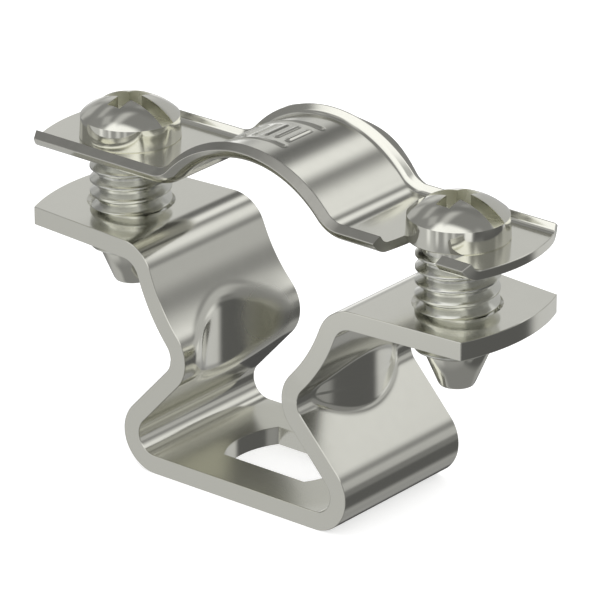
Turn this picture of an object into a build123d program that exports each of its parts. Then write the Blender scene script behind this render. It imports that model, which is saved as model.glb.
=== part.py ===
from build123d import *
import os
from math import asin, atan2, cos, degrees, radians, sin, tan

os.makedirs("parts", exist_ok=True)

# Two-piece steel saddle clamp for a round pipe, in mm: a folded base saddle with a
# V cradle, a flanged top strap over the pipe, and the two M6 screws that draw them
# together. X runs along the strip, Y across it, Z up; the origin is under the base.

# Screws
screw_pitch = 29.88           # between the two screw axes
thread_diameter = 6.0         # M6
thread_clearance = 0.05       # round the shank, in the tapped flange holes
neck_diameter = 5.0           # plain neck that holds the screw in the ear
neck_clearance = 0.18         # round the neck, in the ear's hole and slot
thread_start_drop = 0.4       # from the ear's underside to the first thread
thread_end_drop = 2.05        # from the flange's underside to the last thread
point_length = 2.7            # dog point below the thread
point_top_diameter = 4.8
point_tip_diameter = 2.6
head_diameter = 7.43          # where the head seats on the ear
head_draft = 3.6              # degrees
head_side_height = 1.6
head_height = 3.05            # to the top of the dome
dome_edge = 0.15              # rounding between side and dome
recess_width = 1.2
slot_depth = 1.45             # long slot, from the top of the dome
cross_depth = 2.25            # deepest point of the cross arms
cross_length = 3.9            # over both short arms, at the dome
cross_floor_length = 2.2

# Base saddle: one strip, folded; the fold points lie on the middle of the sheet
base_sheet = 1.4
base_width = 13.0
base_bend = 1.45              # inner radius of every fold
base_fold_x = 12.26           # outer fold, at the bottom
waist_x = 4.37
waist_z = 9.32
shoulder_x = 7.33
shoulder_z = 12.62
flange_fold_x = 8.94
flange_top_z = 17.35
flange_overhang = 5.61        # past the screw's axis
flange_end_width = 11.1
flange_end_rise = 1.1         # of the rounded end over its corners
taper_start_x = 5.44          # where the strip begins to narrow
base_hole_length = 9.26
base_hole_width = 6.2
base_hole_end_radius = 5.7

# Stiffening gusset pressed into each leg at the waist
gusset_reach = 6.05           # floor of the pocket, from the middle of the clamp
gusset_radius = 7.4           # of the pocket's floor, about an upright axis
gusset_wall = 1.15
gusset_rim = 0.8              # rounding of the pocket's rim
gusset_foot = 0.4             # rounding where the bulge leaves the leg

# Top strap
strap_sheet = 0.7
strap_width = 10.8
strap_gap = 4.35              # ear over flange, as the screws stand
arch_inner_radius = 8.4
arch_rise = 3.75              # of the arch's top over the ears
arch_fold = 2.4               # concave radius between ear and arch
ear_overhang = 5.84           # past the screw's axis
ear_end_radius = 11.85
lip_height = 0.6              # of the turned-up edge over the sheet
lip_angle = 57.0              # from the sheet, degrees
lip_bend = 0.6                # inner radius

# Heights and places that follow from the sizes above
screw_x = screw_pitch / 2
flange_bottom_z = flange_top_z - base_sheet
ear_bottom_z = flange_top_z + strap_gap
ear_top_z = ear_bottom_z + strap_sheet
arch_top_z = ear_top_z + arch_rise
arch_axis_z = arch_top_z - strap_sheet - arch_inner_radius


def fold_point(x, z, toward_x, toward_z, reach):
    """Point at distance reach along X on the line from one fold to the next."""
    share = (reach - x) / (toward_x - x)
    return (reach, z + share * (toward_z - z))


# Base saddle
flange_end_x = screw_x + flange_overhang
flange_corner_x = flange_end_x - flange_end_rise
flange_fold_z = flange_top_z - base_sheet / 2
base_fold_z = base_sheet / 2
fold_radius = base_bend + base_sheet / 2
gusset_axis_x = gusset_reach - gusset_radius
bulge_radius = gusset_radius + gusset_wall
bulge_reach = gusset_reach + gusset_wall
# the fold at the waist cuts its corner by this much, along X
leg_turn = atan2(base_fold_x - waist_x, waist_z - base_fold_z) + atan2(
    shoulder_x - waist_x, shoulder_z - waist_z
)
waist_crest_x = waist_x + fold_radius * (1 / cos(leg_turn / 2) - 1)



def is_gusset_edge(edge):
    """Where an upright gusset face meets the folded sheet."""
    return edge.geom_type in (GeomType.ELLIPSE, GeomType.BSPLINE)


with BuildPart() as bulge:
    with BuildSketch(Plane.XZ):
        with BuildLine():
            Polyline(
                (waist_crest_x, waist_z),
                fold_point(waist_x, waist_z, base_fold_x, base_fold_z, bulge_reach),
                fold_point(waist_x, waist_z, shoulder_x, shoulder_z, bulge_reach),
                close=True,
            )
        make_face()
    extrude(amount=base_width / 2, both=True)
    with BuildSketch(Plane.XY):
        with Locations((gusset_axis_x, 0)):
            Circle(bulge_radius)
    extrude(amount=flange_top_z, mode=Mode.INTERSECT)

with BuildPart() as pocket:
    with BuildSketch(Plane.XY.offset(base_sheet)):
        with Locations((gusset_axis_x, 0)):
            Circle(gusset_radius)
        with Locations((-gusset_axis_x, 0)):
            Circle(gusset_radius, mode=Mode.INTERSECT)
    extrude(amount=flange_bottom_z - base_sheet)

with BuildPart() as base_saddle:
    with BuildSketch(Plane.XZ):
        with BuildLine():
            right_folds = [
                (base_fold_x, base_fold_z),
                (waist_x, waist_z),
                (shoulder_x, shoulder_z),
                (flange_fold_x, flange_fold_z),
                (flange_end_x, flange_fold_z),
            ]
            left_folds = [(-x, z) for x, z in reversed(right_folds)]
            FilletPolyline(*left_folds, *right_folds, radius=fold_radius)
        trace(line_width=base_sheet)
    extrude(amount=base_width / 2, both=True)

    # gussets: a bulge outside each leg, then the pocket from the cradle side
    add(bulge.part)
    mirror(bulge.part, about=Plane.YZ)
    fillet(base_saddle.edges().filter_by(is_gusset_edge), radius=gusset_foot)
    add(pocket.part, mode=Mode.SUBTRACT)
    fillet(base_saddle.edges(Select.LAST).filter_by(is_gusset_edge), radius=gusset_rim)

    # plan outline above the waist: narrowing strip with rounded ends
    with BuildSketch(Plane.XY.offset(waist_z)):
        Rectangle(4 * flange_end_x, 2 * base_width)
        with BuildLine():
            for side in (1, -1):
                ThreePointArc(
                    (side * flange_corner_x, -flange_end_width / 2),
                    (side * flange_end_x, 0),
                    (side * flange_corner_x, flange_end_width / 2),
                )
                Polyline(
                    (-flange_corner_x, side * flange_end_width / 2),
                    (-taper_start_x, side * base_width / 2),
                    (taper_start_x, side * base_width / 2),
                    (flange_corner_x, side * flange_end_width / 2),
                )
        make_face(mode=Mode.SUBTRACT)
    extrude(amount=flange_top_z, mode=Mode.SUBTRACT)

    # hole in the base, flat-sided with arc ends
    with BuildSketch(Plane.XY):
        Rectangle(base_hole_length, base_hole_width)
        for side in (1, -1):
            with Locations((side * (base_hole_length / 2 - base_hole_end_radius), 0)):
                Circle(base_hole_end_radius, mode=Mode.INTERSECT)
    extrude(amount=base_sheet, mode=Mode.SUBTRACT)

    # tapped holes for the screws
    with Locations(Plane.XY.offset(flange_top_z)):
        with Locations((-screw_x, 0), (screw_x, 0)):
            Hole(thread_diameter / 2 + thread_clearance, depth=base_sheet)

base_saddle.part.label = "base_saddle"
export_step(base_saddle.part, "parts/base_saddle.step")


# Top strap: half is swept along its side profile, then mirrored
strap_middle_z = ear_top_z - strap_sheet / 2
arch_middle_radius = arch_inner_radius + strap_sheet / 2
fold_middle_radius = arch_fold + strap_sheet / 2
arch_fold_z = ear_top_z + arch_fold
arch_fold_reach = arch_middle_radius + fold_middle_radius
arch_fold_angle = degrees(asin((arch_fold_z - arch_axis_z) / arch_fold_reach))
arch_fold_x = arch_fold_reach * cos(radians(arch_fold_angle))
ear_end_x = screw_x + ear_overhang
lip_end_y = strap_width / 2 - strap_sheet / 2 * sin(radians(lip_angle))
lip_end_rise = lip_height + strap_sheet / 2 * (1 - cos(radians(lip_angle)))
lip_fold_y = lip_end_y - lip_end_rise / tan(radians(lip_angle))
neck_slot_width = neck_diameter + 2 * neck_clearance
slot_turn = degrees(asin((strap_width / 2 + neck_slot_width) / screw_pitch))

with BuildPart() as top_strap:
    with BuildLine(Plane.XZ) as strap_path:
        CenterArc((0, arch_axis_z), arch_middle_radius, 90, arch_fold_angle - 90)
        CenterArc(
            (arch_fold_x, arch_fold_z), fold_middle_radius,
            180 + arch_fold_angle, 90 - arch_fold_angle,
        )
        Line((arch_fold_x, strap_middle_z), (ear_end_x, strap_middle_z))
    with BuildSketch(Plane.YZ) as strap_section:
        with BuildLine():
            section_z = arch_top_z - strap_sheet / 2
            FilletPolyline(
                (-lip_end_y, section_z + lip_end_rise),
                (-lip_fold_y, section_z),
                (lip_fold_y, section_z),
                (lip_end_y, section_z + lip_end_rise),
                radius=lip_bend + strap_sheet / 2,
            )
        trace(line_width=strap_sheet)
    sweep(path=strap_path.wires()[0])
    mirror(about=Plane.YZ)

    # rounded ear ends
    with BuildSketch(Plane.XY.offset(arch_axis_z)) as ear_ends:
        ear_arc_x = ear_end_x - ear_end_radius
        with Locations((-ear_arc_x, 0), (ear_arc_x, 0)):
            Circle(ear_end_radius)
    extrude(amount=2 * arch_inner_radius, mode=Mode.INTERSECT)

    # round hole for the left neck, open slot for the right one
    with BuildSketch(Plane.XY.offset(ear_bottom_z)) as neck_openings:
        with Locations((-screw_x, 0)):
            Circle(neck_slot_width / 2)
        with BuildLine(mode=Mode.PRIVATE) as slot_line:
            CenterArc((-screw_x, 0), screw_pitch, 0, -slot_turn)
        SlotArc(slot_line.edges()[0], neck_slot_width)
    extrude(amount=strap_sheet + 2 * lip_height, mode=Mode.SUBTRACT)

top_strap.part.label = "top_strap"
export_step(top_strap.part, "parts/top_strap.step")


# Screws
head_top_z = ear_top_z + head_height
head_side_z = ear_top_z + head_side_height
head_side_radius = head_diameter / 2 - head_side_height * tan(radians(head_draft))
thread_top_z = ear_bottom_z - thread_start_drop
thread_end_z = flange_bottom_z - thread_end_drop
point_z = thread_end_z - point_length


def make_screw(label, x):
    """Captive M6 screw with a domed head, plain neck and dog point."""
    with BuildPart() as screw:
        with BuildSketch(Plane.XZ) as half_section:
            with BuildLine():
                Polyline(
                    (0, head_top_z),
                    (0, point_z),
                    (point_tip_diameter / 2, point_z),
                    (point_top_diameter / 2, thread_end_z),
                    (thread_diameter / 2, thread_end_z),
                    (thread_diameter / 2, thread_top_z),
                    (neck_diameter / 2, thread_top_z),
                    (neck_diameter / 2, ear_top_z),
                    (head_diameter / 2, ear_top_z),
                    (head_side_radius, head_side_z),
                )
                dome_rise = head_height - head_side_height
                dome_radius = (head_side_radius**2 + dome_rise**2) / (2 * dome_rise)
                RadiusArc((0, head_top_z), (head_side_radius, head_side_z), dome_radius)
            make_face()
        revolve(axis=Axis.Z)
        dome_rim = screw.edges().filter_by(GeomType.CIRCLE).filter_by_position(
            Axis.Z, head_side_z - dome_edge, head_side_z + dome_edge
        )
        fillet(dome_rim, radius=dome_edge)

        # recess: a slot right across the head, and two deeper cross arms
        with BuildSketch(Plane.XY.offset(head_top_z)):
            Rectangle(2 * head_diameter, recess_width)
        extrude(amount=-slot_depth, mode=Mode.SUBTRACT)
        with BuildSketch(Plane.XY.offset(head_top_z)):
            Rectangle(recess_width, cross_length)
        with BuildSketch(Plane.XY.offset(head_top_z - cross_depth)):
            Rectangle(recess_width, cross_floor_length)
        loft(mode=Mode.SUBTRACT)
    placed = Pos(x, 0, 0) * screw.part
    placed.label = label
    export_step(placed, f"parts/{label}.step")
    return placed


left_screw = make_screw("left_screw", -screw_x)
right_screw = make_screw("right_screw", screw_x)
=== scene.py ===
import bmesh
import bpy
import math
from mathutils import Matrix, Vector


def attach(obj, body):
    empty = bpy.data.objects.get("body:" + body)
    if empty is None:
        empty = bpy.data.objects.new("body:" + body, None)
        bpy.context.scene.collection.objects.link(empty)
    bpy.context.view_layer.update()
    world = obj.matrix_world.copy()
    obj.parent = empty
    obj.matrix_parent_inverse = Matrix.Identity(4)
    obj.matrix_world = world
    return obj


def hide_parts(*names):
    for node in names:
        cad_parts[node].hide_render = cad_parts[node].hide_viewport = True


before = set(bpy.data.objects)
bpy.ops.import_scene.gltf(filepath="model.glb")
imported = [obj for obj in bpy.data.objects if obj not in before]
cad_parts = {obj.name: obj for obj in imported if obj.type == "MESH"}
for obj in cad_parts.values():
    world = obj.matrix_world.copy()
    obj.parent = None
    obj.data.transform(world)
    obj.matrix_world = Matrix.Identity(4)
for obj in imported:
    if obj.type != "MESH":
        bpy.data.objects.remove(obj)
bpy.context.view_layer.update()
scene = bpy.context.scene
mm = 0.001
mergeDistance = 1e-6      # metres
finestDistance = 1e-7
crisp = {"edge": 40, "flush": 12}      # degrees: shaded sharp over the first, smooth under the second


def makePiece(name, bm):
    bmesh.ops.recalc_face_normals(bm, faces=bm.faces)
    mesh = bpy.data.meshes.new(name)
    bm.to_mesh(mesh)
    bm.free()
    piece = bpy.data.objects.new(name, mesh)
    scene.collection.objects.link(piece)
    return piece


def cutAway(piece, cutter):
    # cuts one solid out of another and drops the cutter
    cut = piece.modifiers.new("cut", "BOOLEAN")
    cut.operation = "DIFFERENCE"
    cut.solver = "EXACT"
    cut.object = cutter
    graph = bpy.context.evaluated_depsgraph_get()
    result = bpy.data.meshes.new_from_object(piece.evaluated_get(graph), depsgraph=graph)
    piece.modifiers.clear()
    piece.data = result
    bpy.data.objects.remove(cutter)


def breakEdges(bm, width, angle, clamp=False):
    # rounds off the edges sharper than the angle, and keeps the faces beside them flat
    sharp = [edge for edge in bm.edges if edge.calc_face_angle(0) > math.radians(angle)]
    made = bmesh.ops.bevel(
        bm, geom=sharp, offset=width * mm, offset_type="OFFSET", segments=2, profile=0.5,
        affect="EDGES", material=-1, clamp_overlap=clamp,
    )
    for face in made["faces"]:
        for edge in face.edges:
            edge.smooth = edge.calc_face_angle(0) < math.radians(crisp["flush"])


def shadeCrisp(piece):
    # smooth everywhere but at the edges of holes and where an edge was broken
    bm = bmesh.new()
    bm.from_mesh(piece.data)
    for face in bm.faces:
        face.smooth = True
    for edge in bm.edges:
        if edge.calc_face_angle(0) > math.radians(crisp["edge"]):
            edge.smooth = False
    bm.to_mesh(piece.data)
    bm.free()


def sectionStrip(bm, columns):
    # a thin wall across the strip, marked at its two ends; columns are pairs of (y, z) points
    mark = bm.verts.layers.int.new("sheared")
    ends = [bm.verts.new((0, y * mm, z * mm)) for y, z in columns[0]]
    for vert in ends:
        vert[mark] = 1
    edge = bm.edges.new(ends)
    for pair in columns[1:]:
        made = bmesh.ops.extrude_edge_only(bm, edges=[edge])["geom"]
        edge = onlyEdges(made)[0]
        lowFirst = sorted(onlyVerts(made), key=lambda vert: ends.index(linkedVert(vert, ends)))
        for vert, (y, z) in zip(lowFirst, pair):
            vert.co = (0, y * mm, z * mm)
            vert[mark] = int(pair == columns[-1])
        ends = lowFirst
    return [edge for edge in bm.edges if edge.is_boundary]


def linkedVert(vert, others):
    for edge in vert.link_edges:
        if edge.other_vert(vert) in others:
            return edge.other_vert(vert)


def onlyEdges(geometry):
    return [item for item in geometry if isinstance(item, bmesh.types.BMEdge)]


def onlyVerts(geometry):
    return [item for item in geometry if isinstance(item, bmesh.types.BMVert)]


def goStraight(bm, edges, heading, length, pace):
    count = max(1, round(length / pace))
    for _ in range(count):
        made = bmesh.ops.extrude_edge_only(bm, edges=edges)["geom"]
        edges = onlyEdges(made)
        bmesh.ops.translate(bm, verts=onlyVerts(made), vec=heading * (length / count * mm))
    return edges


def goRound(bm, edges, centre, angle, steps):
    # bends towards the left of the heading when the angle is positive, seen from the front
    verts = list(dict.fromkeys(vert for edge in edges for vert in edge.verts))
    made = bmesh.ops.spin(
        bm, geom=verts + edges, cent=centre * mm, axis=(0, -1, 0), dvec=(0, 0, 0),
        angle=angle, steps=steps, use_duplicate=False,
    )
    return onlyEdges(made["geom_last"])


def foldAlong(bm, edges, folds, radii, paces, bendStep):
    # carries the open section along straight runs and bends
    points = [Vector((x, 0, z)) for x, z in folds]
    spot = points[0]
    for index in range(1, len(points)):
        heading = (points[index] - points[index - 1]).normalized()
        length = (points[index] - spot).length
        if index == len(points) - 1:
            return goStraight(bm, edges, heading, length, paces[index - 1])
        onward = (points[index + 1] - points[index]).normalized()
        turn = math.atan2(heading.x * onward.z - heading.z * onward.x, heading.dot(onward))
        radius = radii[index - 1]
        tangent = radius * math.tan(abs(turn) / 2)
        edges = goStraight(bm, edges, heading, length - tangent, paces[index - 1])
        start = points[index] - heading * tangent
        side = Vector((-heading.z, 0, heading.x)) * math.copysign(radius, turn)
        steps = max(math.degrees(abs(turn)) / bendStep, abs(turn) * radius / paces[index])
        edges = goRound(bm, edges, start + side, turn, round(steps))
        spot = points[index] + onward * tangent


def smoothMax(a, b, blend):
    share = min(1, max(0, 0.5 + 0.5 * (a - b) / blend))
    return b + (a - b) * share + blend * share * (1 - share)


def roundedEnd(corner, rise, halfWidth):
    # how far the rounded end reaches at each y
    radius = (halfWidth**2 + rise**2) / (2 * rise)
    centre = corner + rise - radius
    return lambda y: centre + math.sqrt(radius**2 - y**2)


def mirrorStrip(bm):
    bmesh.ops.mirror(bm, geom=bm.verts[:] + bm.edges[:] + bm.faces[:], axis="X", merge_dist=mergeDistance)
    bmesh.ops.remove_doubles(bm, verts=bm.verts, dist=mergeDistance)
    bmesh.ops.recalc_face_normals(bm, faces=bm.faces)


# one folded strip, its folds given on the middle of the sheet, in mm
saddle = {
    "sheet": 1.4,
    "width": 13.0,
    "folds": [(20.55, 16.65), (8.94, 16.65), (7.33, 12.62), (4.37, 9.32), (12.26, 0.7), (0, 0.7)],
    "radii": [2.15, 13.0, 2.15, 2.15],
    "endWidth": 11.1,
    "endRise": 1.1,           # rounded end over its corners
    "endStart": 10.94,        # where the faces begin to follow the rounded end
    "taperStart": 5.44,
    "columns": 80,            # faces across the strip
    "pace": 0.16,             # length of a face along the strip
    "longPace": 1.2,          # and in the flanges and the foot
    "bendStep": 4,            # most degrees to a face in a bend
    "edge": 0.05,             # broken edge
    "sharp": 55,              # degrees
}
gusset = {
    "reach": 6.05,            # floor of the pocket, from the middle of the clamp
    "radius": 7.4,
    "wall": 1.15,
    "rim": 0.8,               # rounding of the pocket's rim
    "foot": 0.32,             # rounding round the bulge outside
    "gentlest": 0.3,          # least slope that a rounding is made for
    "low": 4,
    "high": 15,
    "spare": 0.5,
}


def makeSaddle():
    bm = bmesh.new()
    half, thick = saddle["width"] / 2, saddle["sheet"] / 2
    steps = saddle["columns"]
    rows = [-half + saddle["width"] * step / steps for step in range(steps + 1)]
    edges = sectionStrip(bm, [((y, -thick), (y, thick)) for y in rows])
    endX, endZ = saddle["folds"][0]
    bmesh.ops.translate(bm, verts=bm.verts, vec=(endX * mm, 0, endZ * mm))
    pace = saddle["pace"]
    paces = [saddle["longPace"], pace, pace, pace, saddle["longPace"]]
    foldAlong(bm, edges, saddle["folds"], saddle["radii"], paces, saddle["bendStep"])
    bm.normal_update()

    waistZ = saddle["folds"][3][1]
    cornerX = endX - saddle["endRise"]
    endHalf = saddle["endWidth"] / 2
    taper = (half - endHalf) / (cornerX - saddle["taperStart"])
    endAt = roundedEnd(cornerX, saddle["endRise"], endHalf)
    foldX, stretchFrom = saddle["folds"][1][0], saddle["endStart"]
    axisX = gusset["reach"] - gusset["radius"]
    for vert in bm.verts:
        x, y, z = vert.co / mm
        if gusset["low"] < z < gusset["high"] and x < foldX:   # the leg round the gusset
            inner = vert.normal.x < 0
            radius = gusset["radius"] + (0 if inner else gusset["wall"])
            if abs(y) < radius - gusset["spare"]:
                pressed = axisX + math.sqrt(radius**2 - y**2)
                slope = math.hypot(y / (pressed - axisX), vert.normal.z / vert.normal.x)
                blend = max(slope, gusset["gentlest"]) * gusset["rim" if inner else "foot"]
                x = smoothMax(x, pressed, blend)
        if z > waistZ:
            y *= min(half, endHalf + taper * (cornerX - x)) / half
        if x > stretchFrom:
            x = stretchFrom + (x - stretchFrom) * (endAt(y) - stretchFrom) / (endX - stretchFrom)
        vert.co = Vector((x, y, z)) * mm
    mirrorStrip(bm)
    breakEdges(bm, saddle["edge"], saddle["sharp"])
    return makePiece("foldedSaddle", bm)


footHole = {"length": 9.26, "width": 6.2, "endRadius": 5.7, "segments": 192, "cutFrom": -1, "cutHeight": 4}


def makeFootHoleCutter():
    # a flat-sided hole with arc ends
    bm = bmesh.new()
    radius = footHole["endRadius"]
    bmesh.ops.create_circle(bm, cap_ends=True, segments=footHole["segments"], radius=radius * mm)
    shift = footHole["length"] / 2 * mm - radius * mm
    for vert in bm.verts:
        vert.co.x += shift
    halfWidth = footHole["width"] / 2
    for y, outward in ((0, (-1, 0, 0)), (halfWidth, (0, 1, 0)), (-halfWidth, (0, -1, 0))):
        everything = bm.verts[:] + bm.edges[:] + bm.faces[:]
        bmesh.ops.bisect_plane(
            bm, geom=everything, plane_co=(0, y * mm, 0), plane_no=outward, clear_outer=True
        )
    mirrorStrip(bm)
    bmesh.ops.translate(bm, verts=bm.verts, vec=(0, 0, footHole["cutFrom"] * mm))
    made = bmesh.ops.extrude_face_region(bm, geom=bm.faces[:])["geom"]
    bmesh.ops.translate(bm, verts=onlyVerts(made), vec=(0, 0, footHole["cutHeight"] * mm))
    return makePiece("footHoleCutter", bm)


screw = {
    "x": 14.94,
    "pitch": 1.0,
    "crest": 3.0,
    "root": 2.43,
    "profile": [              # one pitch of thread: out from the root or crest, and share of the pitch
        ("root", 0, 0), ("root", 0, 0.13), ("root", 0.05, 0.18),
        ("crest", -0.04, 0.455), ("crest", 0, 0.5), ("crest", 0, 0.6), ("crest", -0.04, 0.645),
        ("root", 0.05, 0.92), ("root", 0, 0.97), ("root", 0, 1),
    ],
    "threadTop": 21.3,
    "threadEnd": 13.9,
    "neck": 2.5,
    "neckOverlap": 0.05,      # of the neck and the thread
    "headRadius": 3.715,
    "headDraft": 0.1,
    "sideHeight": 1.6,
    "headHeight": 3.05,
    "domeSteps": 20,
    "seatBreak": (0.04, 0.06),         # broken edge under the head, in and up
    "recessWidth": 1.2,
    "slotDepth": 1.45,
    "slotLength": 12,
    "slotSpare": 1,           # how far its cutter stands over the dome
    "crossDepth": 2.25,
    "crossLength": 3.9,
    "crossFloor": 2.2,
    "crossSpare": 0.02,
    "point": 11.2,
    "pointTop": 2.4,
    "pointTip": 1.3,
    "tipRounding": [(-0.22, 0), (-0.06, 0.05), (0.04, 0.2)],     # out from the tip, and up
    "pointOverlap": (0.02, 0.1),
    "edge": 0.05,
    "sharp": 35,
    "roundSteps": 96,
}


def makeThread(bm, x, low, high, spare=0):
    # one pitch of the thread's side, spun upwards, then cut level at both ends
    pitch = screw["pitch"]
    side = [(screw[foot] + spare + out, share) for foot, out, share in screw["profile"]]
    turns = math.ceil((high - low) / pitch) + 2
    verts = [bm.verts.new(((x + r) * mm, 0, (low - pitch + z * pitch) * mm)) for r, z in side]
    edges = [bm.edges.new(pair) for pair in zip(verts, verts[1:])]
    steps = screw["roundSteps"]
    bmesh.ops.spin(
        bm, geom=verts + edges, cent=(x * mm, 0, 0), axis=(0, 0, 1), dvec=(0, 0, pitch / steps * mm),
        angle=turns * 2 * math.pi, steps=turns * steps, use_duplicate=False,
    )
    bmesh.ops.remove_doubles(bm, verts=bm.verts, dist=finestDistance)
    for z, way in ((low, -1), (high, 1)):
        everything = bm.verts[:] + bm.edges[:] + bm.faces[:]
        bmesh.ops.bisect_plane(
            bm, geom=everything, plane_co=(0, 0, z * mm), plane_no=(0, 0, way), clear_outer=True
        )
        rim = [
            edge for edge in bm.edges
            if edge.is_boundary and all(abs(vert.co.z - z * mm) < finestDistance for vert in edge.verts)
        ]
        bmesh.ops.edgeloop_fill(bm, edges=rim)


def makeTurned(bm, x, outline):
    # turns an outline of (radius, z) points about the screw's axis
    verts = [bm.verts.new(((x + radius) * mm, 0, z * mm)) for radius, z in outline]
    edges = [bm.edges.new(pair) for pair in zip(verts, verts[1:])]
    bmesh.ops.spin(
        bm, geom=verts + edges, cent=(x * mm, 0, 0), axis=(0, 0, 1), dvec=(0, 0, 0),
        angle=2 * math.pi, steps=screw["roundSteps"], use_merge=True, use_duplicate=False,
    )
    bmesh.ops.remove_doubles(bm, verts=bm.verts, dist=finestDistance)


def makeBlock(name, x, low, high, topSize, floorSize):
    bm = bmesh.new()
    bmesh.ops.create_cube(bm, size=1)
    for vert in bm.verts:
        width, depth = topSize if vert.co.z > 0 else floorSize
        z = high if vert.co.z > 0 else low
        vert.co = Vector((x + vert.co.x * width, vert.co.y * depth, z)) * mm
    return makePiece(name, bm)


def makeScrewHead(x):
    top = strap["top"] + screw["headHeight"]
    sideZ = strap["top"] + screw["sideHeight"]
    rim = screw["headRadius"] - screw["headDraft"]
    rise = top - sideZ
    domeRadius = (rim**2 + rise**2) / (2 * rise)
    reach = math.asin(rim / domeRadius)
    domeSteps = screw["domeSteps"]
    dome = [
        (domeRadius * math.sin(reach * step / domeSteps),
         top - domeRadius * (1 - math.cos(reach * step / domeSteps)))
        for step in range(domeSteps + 1)
    ]
    seatIn, seatUp = screw["seatBreak"]
    neckFoot = screw["threadTop"] - screw["neckOverlap"]
    bm = bmesh.new()
    makeTurned(bm, x, dome + [
        (screw["headRadius"], strap["top"] + seatUp), (screw["headRadius"] - seatIn, strap["top"]),
        (screw["neck"], strap["top"]), (screw["neck"], neckFoot), (0, neckFoot),
    ])
    head = makePiece("screwHead", bm)
    width = screw["recessWidth"]
    slotSize = (screw["slotLength"], width)
    cutAway(head, makeBlock(
        "slotCutter", x, top - screw["slotDepth"], top + screw["slotSpare"], slotSize, slotSize
    ))
    cutAway(head, makeBlock(
        "crossCutter", x, top - screw["crossDepth"], top + screw["crossSpare"],
        (width, screw["crossLength"]), (width, screw["crossFloor"]),
    ))
    return head


def makeScrew(name, x):
    head = makeScrewHead(x)
    bm = bmesh.new()
    bm.from_mesh(head.data)
    breakEdges(bm, screw["edge"], screw["sharp"], clamp=True)
    bpy.data.objects.remove(head)
    thread = bmesh.new()
    makeThread(thread, x, screw["threadEnd"], screw["threadTop"])
    addShell(bm, thread)
    point = bmesh.new()
    foot, top = screw["point"], screw["threadEnd"]
    inward, upward = screw["pointOverlap"]
    makeTurned(point, x, [
        (0, foot), *((screw["pointTip"] + out, foot + up) for out, up in screw["tipRounding"]),
        (screw["pointTop"], top), (screw["pointTop"] - inward, top + upward), (0, top + upward),
    ])
    addShell(bm, point)
    piece = makePiece(name, bm)
    shadeCrisp(piece)
    return piece


def addShell(bm, shell):
    mesh = bpy.data.meshes.new("shell")
    shell.to_mesh(mesh)
    shell.free()
    bm.from_mesh(mesh)
    bpy.data.meshes.remove(mesh)


strap = {
    "sheet": 0.7,
    "width": 10.8,
    "top": 22.4,              # upper side of the ears
    "archRadius": 8.4,
    "archRise": 3.75,
    "archFold": 2.4,
    "end": 20.78,
    "endRadius": 11.85,
    "endSpare": 0.5,          # past the fold, where the faces begin to follow the rounded end
    "lipHeight": 0.6,
    "lipAngle": 57,
    "lipBend": 0.6,
    "lipSheet": 0.8,          # the sheet swells a little in the lips
    "flare": 0.36,            # rise of the back lip's outer edge over the arch's haunches
    "flareStart": 1.2,
    "flareEnd": 8.3,
    "neckHole": 5.36,
    "slotSweep": 16,          # degrees about the left screw
    "slotSteps": 24,
    "slotDrop": 1.5,          # of the slot's cutters under the ear's upper side
    "cutHeight": 4,
    "cutSegments": 96,
    "flatSteps": 28,          # faces across half the flat sheet
    "lipSteps": 10,
    "pace": 0.6,              # length of a face in the ears
    "foldSteps": 18,
    "archSteps": 56,          # in half the arch
    "edge": 0.06,
    "sharp": 55,
}


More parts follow.
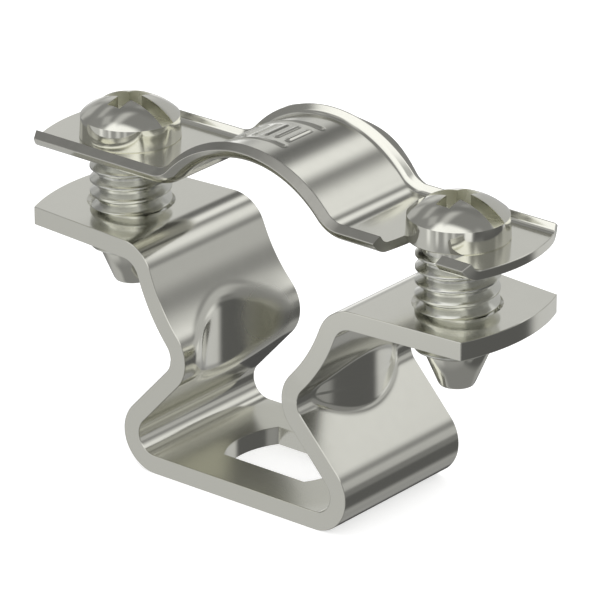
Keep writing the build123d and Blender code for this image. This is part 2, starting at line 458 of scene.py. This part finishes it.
def makeStrap():
    thick = strap["sheet"] / 2
    lip, bend = math.radians(strap["lipAngle"]), strap["lipBend"] + thick
    lipEndY = strap["width"] / 2 - thick * math.sin(lip)
    lipRise = strap["lipHeight"] + thick * (1 - math.cos(lip))
    cornerY = lipEndY - lipRise / math.tan(lip)
    flatY = cornerY - bend * math.tan(lip / 2)
    flatSteps, lipSteps = strap["flatSteps"], strap["lipSteps"]
    right = [(flatY * step / flatSteps, 0, 0) for step in range(1, flatSteps + 1)]
    right += [
        (flatY + bend * math.sin(lip * step / lipSteps), bend * (1 - math.cos(lip * step / lipSteps)),
         lip * step / lipSteps)
        for step in range(1, lipSteps + 1)
    ]
    right.append((lipEndY, lipRise, lip))
    middle = [(-y, z, -angle) for y, z, angle in reversed(right)] + [(0, 0, 0)] + right
    swell = (strap["lipSheet"] - strap["sheet"]) / 2 / lip
    columns = [
        tuple(
            (y - side * (thick + swell * abs(angle)) * math.sin(angle),
             z + side * (thick + swell * abs(angle)) * math.cos(angle))
            for side in (-1, 1)
        )
        for y, z, angle in middle
    ]
    bm = bmesh.new()
    edges = sectionStrip(bm, columns)
    middleZ = strap["top"] - thick
    bmesh.ops.translate(bm, verts=bm.verts, vec=(strap["end"] * mm, 0, middleZ * mm))

    archTop = strap["top"] + strap["archRise"]
    axisZ = archTop - strap["sheet"] - strap["archRadius"]
    archMiddle, foldMiddle = strap["archRadius"] + thick, strap["archFold"] + thick
    foldZ = strap["top"] + strap["archFold"]
    foldAngle = math.asin((foldZ - axisZ) / (archMiddle + foldMiddle))
    foldX = (archMiddle + foldMiddle) * math.cos(foldAngle)
    edges = goStraight(bm, edges, Vector((-1, 0, 0)), strap["end"] - foldX, strap["pace"])
    edges = goRound(bm, edges, Vector((foldX, 0, foldZ)), foldAngle - math.pi / 2, strap["foldSteps"])
    goRound(bm, edges, Vector((0, 0, axisZ)), math.pi / 2 - foldAngle, strap["archSteps"])
    bm.normal_update()

    endCentre = strap["end"] - strap["endRadius"]
    stretchFrom = foldX + strap["endSpare"]
    for vert in bm.verts:
        x, y = vert.co.x / mm, vert.co.y / mm
        if x > stretchFrom:
            reach = endCentre + math.sqrt(strap["endRadius"]**2 - y**2)
            x = stretchFrom + (x - stretchFrom) * (reach - stretchFrom) / (strap["end"] - stretchFrom)
            vert.co.x = x * mm
    mirrorStrip(bm)
    mark = bm.verts.layers.int["sheared"]
    for face in bm.faces:
        face.material_index = int(all(vert[mark] for vert in face.verts))
    for vert in bm.verts:
        x, y, z = vert.co / mm
        height = math.hypot(x, z - axisZ)
        if height > archMiddle - 1 and z > foldZ:
            away = Vector((x, 0, z - axisZ)) / height
            vert.co += away * (stampHeight(math.atan2(x, z - axisZ) * archMiddle, y) * mm)
        along = (abs(x) - strap["flareStart"]) / (strap["flareEnd"] - strap["flareStart"])
        if vert[mark] and y > lipEndY and 0 < along < 1:
            onArch = abs(x) < archMiddle * math.cos(foldAngle)
            upward = Vector((x, 0, z - axisZ) if onArch else (math.copysign(foldX, x) - x, 0, foldZ - z))
            vert.co += upward.normalized() * (strap["flare"] * math.sin(math.pi * along)**2 * mm)
    breakEdges(bm, strap["edge"], strap["sharp"])
    return makePiece("flangedStrap", bm)


stamp = {
    "start": -5.2,            # along the arch from its top
    "spacing": 0.95,
    "bars": 7,
    "barWidth": 0.3,
    "barLength": 2.6,
    "middle": 0.2,
    "frameReach": 2.1,        # of each line from the middle of the bars
    "frameSpare": 0.5,
    "lineWidth": 0.22,
    "soft": 0.09,
    "height": 0.11,
}


def easedBar(distance, half, soft):
    # 1 on a bar, eased to 0 beside it
    share = min(1, max(0, (half + soft - abs(distance)) / (2 * soft)))
    return share * share * (3 - 2 * share)


def stampHeight(along, across):
    # plain marks pressed up in the arch: a row of short bars between two lines
    bars = max(
        easedBar(along - stamp["start"] - stamp["spacing"] * number, stamp["barWidth"] / 2, stamp["soft"])
        for number in range(stamp["bars"])
    ) * easedBar(across - stamp["middle"], stamp["barLength"] / 2, stamp["soft"])
    length = stamp["spacing"] * (stamp["bars"] - 1) / 2
    lines = max(
        easedBar(across - stamp["middle"] - side * stamp["frameReach"], stamp["lineWidth"] / 2, stamp["soft"])
        for side in (-1, 1)
    ) * easedBar(along - stamp["start"] - length, length + stamp["frameSpare"], stamp["soft"])
    return stamp["height"] * max(bars, lines)


def makeRoundCutter(name, x, middleZ):
    bm = bmesh.new()
    radius = strap["neckHole"] / 2 * mm
    bmesh.ops.create_cone(
        bm, cap_ends=True, segments=strap["cutSegments"], radius1=radius, radius2=radius,
        depth=strap["cutHeight"] * mm, matrix=Matrix.Translation((x * mm, 0, middleZ * mm)),
    )
    return makePiece(name, bm)


def makeSlotCutter():
    # an arc about the left screw, from the right neck out to the front
    x, half = screw["x"], strap["neckHole"] / 2
    low = strap["top"] - strap["slotDrop"]
    high = low + strap["cutHeight"]
    bm = bmesh.new()
    verts = [
        bm.verts.new(((x + side * half) * mm, 0, z * mm))
        for side, z in ((-1, low), (1, low), (1, high), (-1, high))
    ]
    start = bm.faces.new(verts)
    bmesh.ops.spin(
        bm, geom=start.edges[:] + verts, cent=(-x * mm, 0, 0), axis=(0, 0, 1), dvec=(0, 0, 0),
        angle=-math.radians(strap["slotSweep"]), steps=strap["slotSteps"], use_duplicate=False,
    )
    bmesh.ops.holes_fill(bm, edges=[edge for edge in bm.edges if edge.is_boundary])
    return makePiece("slotCutter", bm)


tappedHole = {"low": 15.2, "high": 18.1, "clearance": 0.03, "mouth": 3.22, "chamfer": 0.4, "segments": 192}


def makeCountersinkCutter(x):
    # opens the mouth of a tapped hole
    flangeTop = saddle["folds"][0][1] + saddle["sheet"] / 2
    mouth, chamfer = tappedHole["mouth"], tappedHole["chamfer"]
    bm = bmesh.new()
    bmesh.ops.create_cone(
        bm, cap_ends=True, segments=tappedHole["segments"], radius1=(mouth - chamfer) * mm,
        radius2=(mouth + chamfer) * mm, depth=chamfer * 2 * mm,
        matrix=Matrix.Translation((x * mm, 0, flangeTop * mm)),
    )
    return makePiece("countersinkCutter", bm)


def makeThreadCutter(x):
    bm = bmesh.new()
    makeThread(bm, x, tappedHole["low"], tappedHole["high"], tappedHole["clearance"])
    return makePiece("threadCutter", bm)


# what the three finishes of stainless steel share
steel = {
    "grainDetail": 5,
    "cloudDetail": 3,
    "roughLeast": 0.8,        # times a finish's roughness
    "roughMost": 1.3,
    "bumpDepth": 0.00001,     # metres
    "regionSoft": 0.05,       # mm, at a duller region's lower and upper end
}


def steelFinish(name, settings):
    material = bpy.data.materials.new(name)
    material.use_nodes = True
    nodes, links = material.node_tree.nodes, material.node_tree.links
    shader = nodes["Principled BSDF"]
    shader.inputs["Metallic"].default_value = 1
    place = nodes.new("ShaderNodeTexCoord")
    stretch = nodes.new("ShaderNodeMapping")
    stretch.inputs["Scale"].default_value = settings["grainStretch"]
    links.new(place.outputs["Object"], stretch.inputs["Vector"])
    grain = nodes.new("ShaderNodeTexNoise")
    grain.inputs["Scale"].default_value = settings["grainScale"]
    grain.inputs["Detail"].default_value = steel["grainDetail"]
    links.new(stretch.outputs["Vector"], grain.inputs["Vector"])
    cloud = nodes.new("ShaderNodeTexNoise")
    cloud.inputs["Scale"].default_value = settings["cloudScale"]
    cloud.inputs["Detail"].default_value = steel["cloudDetail"]
    links.new(place.outputs["Object"], cloud.inputs["Vector"])
    tone = nodes.new("ShaderNodeMix")
    tone.data_type = "RGBA"
    tone.inputs["A"].default_value = (*settings["colour"], 1)
    tone.inputs["B"].default_value = (*settings["warmColour"], 1)
    links.new(cloud.outputs["Fac"], tone.inputs["Factor"])
    rough = nodes.new("ShaderNodeMapRange")
    rough.inputs["To Min"].default_value = settings["roughness"] * steel["roughLeast"]
    rough.inputs["To Max"].default_value = settings["roughness"] * steel["roughMost"]
    links.new(grain.outputs["Fac"], rough.inputs["Value"])
    roughness, colour = rough.outputs["Result"], tone.outputs["Result"]
    # each region makes the finish rougher and multiplies its colour by a tint; inside the screws' recess that
    # darkening is painted shade
    for region in settings["dullAndShadedRegions"]:
        for spot in region["spots"]:
            share = regionShare(nodes, links, place.outputs["Object"], spot, region)
            roughness = mixedNumber(nodes, links, share, roughness, region["roughness"])
            colour = tintedAndShaded(nodes, links, share, colour, region["tintAndShade"])
    links.new(roughness, shader.inputs["Roughness"])
    links.new(colour, shader.inputs["Base Color"])
    bump = nodes.new("ShaderNodeBump")
    bump.inputs["Strength"].default_value = settings["bump"]
    bump.inputs["Distance"].default_value = steel["bumpDepth"]
    links.new(grain.outputs["Fac"], bump.inputs["Height"])
    links.new(bump.outputs["Normal"], shader.inputs["Normal"])
    return material


def mixedNumber(nodes, links, share, number, other):
    chosen = nodes.new("ShaderNodeMix")
    links.new(share, chosen.inputs["Factor"])
    links.new(number, chosen.inputs["A"])
    chosen.inputs["B"].default_value = other
    return chosen.outputs["Result"]


# multiplies the colour by a tint within the share; inside the screws' recess this is painted shade
def tintedAndShaded(nodes, links, share, colour, tintAndShade):
    chosen = nodes.new("ShaderNodeMix")
    chosen.data_type = "RGBA"
    chosen.blend_type = "MULTIPLY"
    links.new(share, chosen.inputs["Factor"])
    links.new(colour, chosen.inputs["A"])
    chosen.inputs["B"].default_value = (*tintAndShade, 1)
    return chosen.outputs["Result"]


def regionShare(nodes, links, place, spot, region):
    # 1 within the radius of the spot and between two heights
    offset = nodes.new("ShaderNodeVectorMath")
    offset.operation = "DISTANCE"
    offset.inputs[1].default_value = [value * mm for value in spot]
    links.new(place, offset.inputs[0])
    parts = nodes.new("ShaderNodeSeparateXYZ")
    links.new(place, parts.inputs[0])
    share = easedStep(nodes, links, offset.outputs["Value"], region["radius"], -region["soft"])
    for height, soft in ((region["from"], steel["regionSoft"]), (region["to"], -steel["regionSoft"])):
        both = nodes.new("ShaderNodeMath")
        both.operation = "MULTIPLY"
        links.new(share, both.inputs[0])
        links.new(easedStep(nodes, links, parts.outputs["Z"], height, soft), both.inputs[1])
        share = both.outputs[0]
    return share


def easedStep(nodes, links, value, middle, soft):
    # 0 to 1 across the middle, or 1 to 0 when soft is negative
    step = nodes.new("ShaderNodeMapRange")
    step.inputs["From Min"].default_value = (middle - soft) * mm
    step.inputs["From Max"].default_value = (middle + soft) * mm
    links.new(value, step.inputs["Value"])
    return step.outputs["Result"]


def atScrews(z):
    return [(-screw["x"], 0, z), (screw["x"], 0, z)]


sheetFinish = {
    "colour": (0.81, 0.806, 0.737),
    "warmColour": (0.79, 0.786, 0.715),
    "roughness": 0.13,
    "grainScale": 900,
    "grainStretch": (1, 1, 1),
    "cloudScale": 120,
    "bump": 0.01,
    "dullAndShadedRegions": [
        {   # deep end of the left gusset
            "spots": [(-5.4, 3.6, 9.9)], "radius": 2.5, "soft": 0.7, "from": 4, "to": 16,
            "roughness": 0.3, "tintAndShade": (1, 1, 1),
        },
        {   # top of the foot
            "spots": [(0, 0, 1.4)], "radius": 9.5, "soft": 1, "from": 1.3, "to": 1.5,
            "roughness": 0.24, "tintAndShade": (0.97, 0.97, 0.95),
        },
    ],
}
shearedFinish = {             # cut edges of the strap
    "colour": (0.46, 0.455, 0.42),
    "warmColour": (0.36, 0.355, 0.325),
    "roughness": 0.38,
    "grainScale": 900,
    "grainStretch": (3, 0.6, 0.6),
    "cloudScale": 500,
    "bump": 0.3,
    "dullAndShadedRegions": [],
}
screwFinish = {
    "colour": (0.81, 0.806, 0.737),
    "warmColour": (0.79, 0.786, 0.712),
    "roughness": 0.09,
    "grainScale": 1200,
    "grainStretch": (1, 1, 1),
    "cloudScale": 200,
    "bump": 0.01,
    "dullAndShadedRegions": [
        {   # inside the recess: rougher, and its colour darkened as painted shade
            "spots": atScrews(20.26), "radius": 5.15, "soft": 0.03, "from": 24.05, "to": 26,
            "roughness": 0.34, "tintAndShade": (0.9, 0.9, 0.86),
        },
        {   # thread
            "spots": atScrews(17.4), "radius": 4.9, "soft": 0.05, "from": 13.9, "to": 22,
            "roughness": 0.2, "tintAndShade": (0.97, 0.98, 1),
        },
    ],
}
sheetSteel = steelFinish("polishedSheetSteel", sheetFinish)
shearedSteel = steelFinish("shearedSheetSteel", shearedFinish)
turnedSteel = steelFinish("polishedScrewSteel", screwFinish)

print("stage: saddle")
saddlePiece = makeSaddle()
saddlePiece.data.materials.append(sheetSteel)
cutAway(saddlePiece, makeFootHoleCutter())
for x in (-screw["x"], screw["x"]):
    cutAway(saddlePiece, makeThreadCutter(x))
    cutAway(saddlePiece, makeCountersinkCutter(x))
shadeCrisp(saddlePiece)

print("stage: strap")
strapPiece = makeStrap()
strapPiece.data.materials.append(sheetSteel)
strapPiece.data.materials.append(shearedSteel)
slotEndZ = strap["top"] - strap["slotDrop"] + strap["cutHeight"] / 2
for cutter in (
    makeRoundCutter("neckHoleCutter", -screw["x"], strap["top"]),
    makeSlotCutter(),
    makeRoundCutter("slotEndCutter", screw["x"], slotEndZ),
):
    cutter.data.materials.append(sheetSteel)
    cutter.data.materials.append(shearedSteel)
    for polygon in cutter.data.polygons:
        polygon.material_index = 1        # what they cut shows sheared metal
    cutAway(strapPiece, cutter)
shadeCrisp(strapPiece)

print("stage: screws")
screwPieces = [makeScrew("leftScrewThreaded", -screw["x"]), makeScrew("rightScrewThreaded", screw["x"])]
for piece in screwPieces:
    piece.data.materials.append(turnedSteel)

placing = [
    (saddlePiece, "base", "base_saddle", "steel_sheet"),
    (strapPiece, "strap", "top_strap", "steel_sheet"),
    (screwPieces[0], "left_bolt", "left_screw", "steel_screw"),
    (screwPieces[1], "right_bolt", "right_screw", "steel_screw"),
]
for piece, body, node, slotName in placing:
    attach(piece, body)
    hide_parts(node)

print("stage: floor, light and camera")
studio = {
    "floorSize": 3.0,
    "floorColour": (0.82, 0.82, 0.82),
    "floorLift": 0.55,        # seen floor over lit floor, up to white
    "daylight": 1.0,
    "tentRadius": 0.9,
    "tentGrey": 0.25,         # between the panels
    "azimuth": 39.187,
    "elevation": 23.177,
    "distance": 421.975,      # mm
    "shiftRight": 0.6408,
    "shiftUp": 12.3688,
    "lens": 5852.2 / 600 * 36,
}
# panels of the studio tent: azimuth, elevation, half width, half height, soft edge in degrees, brightness
# azimuth 0 is in front of the clamp, 90 at its right
tentPanels = [
    (180, 12, 50, 22, 6, 0.5),        # back wall
    (-137, 24, 15, 11, 5, 0.63),
    (-128, 2, 16, 13, 6, 0.47),
    (175, -30, 22, 15, 6, 0.36),
    (168, -18, 19, 8, 4, 0.62),
    (154, -9, 7, 5, 3, 0.8),
    (10, -24, 62, 22, 8, 0.33),       # table in front
    (10, 8, 55, 12, 6, 0.72),         # edge of the table
    (14, 67, 56, 14, 4, 1.1),
    (10, 43, 47, 18, 5, 1.2),         # front light
    (-40, -24, 24, 17, 8, 0.55),
    (-42, -4, 9, 6, 4, 0.26),
    (-29, -15, 4, 6, 3, 0.9),         # lamps low in front
    (-8, -15, 3, 6, 3, 0.8),
    (12, -15, 4, 6, 4, 0.7),
    (28, -14, 3, 6, 3, 0.62),
    (60, -12, 8, 7, 3, 0.95),
    (-98, 52, 28, 17, 7, 0.27),       # dark wall at the left
    (-100, 47, 9, 4, 3, 0.45),
    (-74, 58, 7, 5, 3, 0.45),
    (-95, 76, 30, 5, 4, 0.55),
    (-100, -52, 34, 18, 8, 0.48),     # floor at the left
    (104, 50, 6, 13, 5, 0.45),
    (110, -28, 38, 15, 6, 0.11),      # dark table at the right
    (84, -27, 9, 8, 4, 0.3),
    (134, -7, 7, 6, 3, 0.2),
    (152, 37, 10, 8, 6, 0.88),        # lights behind
    (-172, 45, 7, 7, 5, 0.95),
    (-137, -2, 10, 7, 5, 1.0),
    (-147, 37, 7, 6, 4, 0.15),
    (139, 20, 8, 5, 4, 0.27),
    (-152, -38, 12, 10, 4, 0.07),
    (-108, 20, 8, 9, 4, 0.5),
    (-170, -47, 8, 6, 3, 0.33),
    (-148, 65, 24, 7, 5, 0.21),
    (-33, 63, 8, 9, 4, 1.15),
]


def makeFloor():
    bm = bmesh.new()
    bmesh.ops.create_grid(bm, x_segments=1, y_segments=1, size=studio["floorSize"] / 2)
    floor = makePiece("paleFloor", bm)
    material = bpy.data.materials.new("paleFloor")
    material.use_nodes = True
    nodes, links = material.node_tree.nodes, material.node_tree.links
    shader = nodes["Principled BSDF"]
    shader.inputs["Base Color"].default_value = (*studio["floorColour"], 1)
    shader.inputs["Roughness"].default_value = 1
    shader.inputs["Specular IOR Level"].default_value = 0
    lift = nodes.new("ShaderNodeMath")
    lift.operation = "MULTIPLY"
    lift.inputs[1].default_value = studio["floorLift"]
    links.new(seenDirectly(nodes, links), lift.inputs[0])
    links.new(lift.outputs[0], shader.inputs["Emission Strength"])
    shader.inputs["Emission Color"].default_value = (1, 1, 1, 1)
    floor.data.materials.append(material)
    floor.visible_glossy = False      # the tent is what the steel shows


def seenDirectly(nodes, links):
    # 1 for rays from the camera, from gloss and through glass
    path = nodes.new("ShaderNodeLightPath")
    both = nodes.new("ShaderNodeMath")
    both.operation = "MAXIMUM"
    links.new(path.outputs["Is Camera Ray"], both.inputs[0])
    links.new(path.outputs["Is Glossy Ray"], both.inputs[1])
    every = nodes.new("ShaderNodeMath")
    every.operation = "MAXIMUM"
    links.new(both.outputs[0], every.inputs[0])
    links.new(path.outputs["Is Transmission Ray"], every.inputs[1])
    return every.outputs[0]


def makeSky():
    world = bpy.data.worlds.new("studio")
    scene.world = world
    world.use_nodes = True
    nodes, links = world.node_tree.nodes, world.node_tree.links
    background = nodes["Background"]
    seen = seenDirectly(nodes, links)
    mix = nodes.new("ShaderNodeMix")
    mix.data_type = "RGBA"
    grey = studio["daylight"]
    mix.inputs["A"].default_value = (grey, grey, grey, 1)
    mix.inputs["B"].default_value = (1, 1, 1, 1)
    links.new(seen, mix.inputs["Factor"])
    links.new(mix.outputs["Result"], background.inputs["Color"])


def easedInside(nodes, links, angle, half, soft):
    # 1 within the half width, eased to 0 over the soft edge
    size = nodes.new("ShaderNodeMath")
    size.operation = "ABSOLUTE"
    links.new(angle, size.inputs[0])
    ease = nodes.new("ShaderNodeMapRange")
    ease.interpolation_type = "SMOOTHSTEP"
    ease.inputs["From Min"].default_value = math.radians(half + soft)
    ease.inputs["From Max"].default_value = math.radians(half - soft)
    links.new(size.outputs[0], ease.inputs["Value"])
    return ease.outputs["Result"]


def makeTent():
    # a round tent of soft light and dark panels, which only the steel shows
    bm = bmesh.new()
    bmesh.ops.create_icosphere(bm, subdivisions=5, radius=studio["tentRadius"])
    tent = makePiece("studioTent", bm)
    material = bpy.data.materials.new("studioTent")
    material.use_nodes = True
    nodes, links = material.node_tree.nodes, material.node_tree.links
    nodes.remove(nodes["Principled BSDF"])
    place = nodes.new("ShaderNodeTexCoord")
    brightness = None
    for azimuth, elevation, halfWidth, halfHeight, soft, panelLevel in tentPanels:
        sideways = nodes.new("ShaderNodeVectorRotate")
        sideways.rotation_type = "Z_AXIS"
        sideways.inputs["Angle"].default_value = -math.radians(azimuth)
        links.new(place.outputs["Object"], sideways.inputs["Vector"])
        tilt = nodes.new("ShaderNodeVectorRotate")
        tilt.rotation_type = "X_AXIS"
        tilt.inputs["Angle"].default_value = math.radians(elevation)
        links.new(sideways.outputs[0], tilt.inputs["Vector"])
        parts = nodes.new("ShaderNodeSeparateXYZ")
        links.new(tilt.outputs[0], parts.inputs[0])
        ahead = nodes.new("ShaderNodeMath")
        ahead.operation = "MULTIPLY"
        ahead.inputs[1].default_value = -1
        links.new(parts.outputs["Y"], ahead.inputs[0])
        across = nodes.new("ShaderNodeMath")
        across.operation = "ARCTAN2"
        links.new(parts.outputs["X"], across.inputs[0])
        links.new(ahead.outputs[0], across.inputs[1])
        height = nodes.new("ShaderNodeMath")
        height.operation = "DIVIDE"
        height.inputs[1].default_value = studio["tentRadius"]
        links.new(parts.outputs["Z"], height.inputs[0])
        upward = nodes.new("ShaderNodeMath")
        upward.operation = "ARCSINE"
        links.new(height.outputs[0], upward.inputs[0])
        inside = nodes.new("ShaderNodeMath")
        inside.operation = "MULTIPLY"
        links.new(easedInside(nodes, links, across.outputs[0], halfWidth, soft), inside.inputs[0])
        links.new(easedInside(nodes, links, upward.outputs[0], halfHeight, soft), inside.inputs[1])
        laid = nodes.new("ShaderNodeMix")
        links.new(inside.outputs[0], laid.inputs["Factor"])
        if brightness:
            links.new(brightness, laid.inputs["A"])
        else:
            laid.inputs["A"].default_value = studio["tentGrey"]
        laid.inputs["B"].default_value = panelLevel
        brightness = laid.outputs["Result"]
    glow = nodes.new("ShaderNodeEmission")
    links.new(brightness, glow.inputs["Strength"])
    links.new(glow.outputs[0], nodes["Material Output"].inputs["Surface"])
    tent.data.materials.append(material)
    tent.visible_camera = tent.visible_diffuse = tent.visible_shadow = False
    tent.visible_transmission = False


def makeCamera():
    turn, lift = math.radians(studio["azimuth"]), math.radians(studio["elevation"])
    right = Vector((math.cos(turn), math.sin(turn), 0))
    back = Vector((math.sin(turn) * math.cos(lift), -math.cos(turn) * math.cos(lift), math.sin(lift)))
    up = back.cross(right)
    data = bpy.data.cameras.new("photoCamera")
    data.lens = studio["lens"]
    data.clip_start, data.clip_end = 0.01, 10
    camera = bpy.data.objects.new("photoCamera", data)
    scene.collection.objects.link(camera)
    camera.matrix_world = Matrix((right, up, back)).transposed().to_4x4()
    camera.location = (
        right * studio["shiftRight"] + up * studio["shiftUp"] + back * studio["distance"]
    ) * mm
    scene.camera = camera


makeFloor()
makeSky()
makeTent()
makeCamera()
scene.view_settings.view_transform = "Standard"

bpy.context.view_layer.update()
